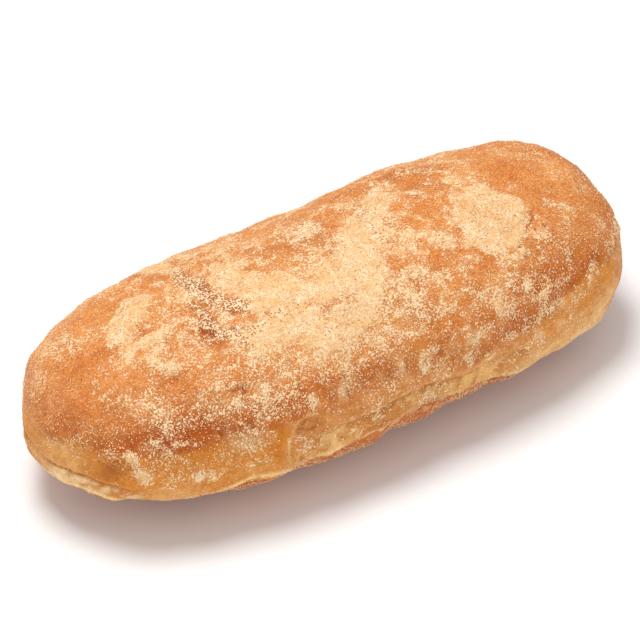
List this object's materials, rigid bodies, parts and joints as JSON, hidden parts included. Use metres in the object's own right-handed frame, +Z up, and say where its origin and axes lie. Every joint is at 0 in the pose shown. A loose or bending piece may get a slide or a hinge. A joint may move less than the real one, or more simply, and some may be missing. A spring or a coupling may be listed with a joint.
{
  "type": "kinako fried bread",
  "caption": "Long oval deep-fried yeast bun with browned faces and a pale folded waist, dusted with roasted soybean flour and sugar.",
  "frame": {"origin": "middle of the bun's footprint, on the surface that it rests on", "axes": "+X along the bun's length, +Y across it towards its far side, +Z up"},
  "size_m": [0.171, 0.0736, 0.0473],
  "materials": {
    "fried_crust": "matte, faintly oily",
    "kinako_powder": "matte powder",
    "sugar_crystals": "fine translucent grains"
  },
  "bodies": {
    "root": {"fried_bread": "fried_crust"}
  },
  "joints": []
}
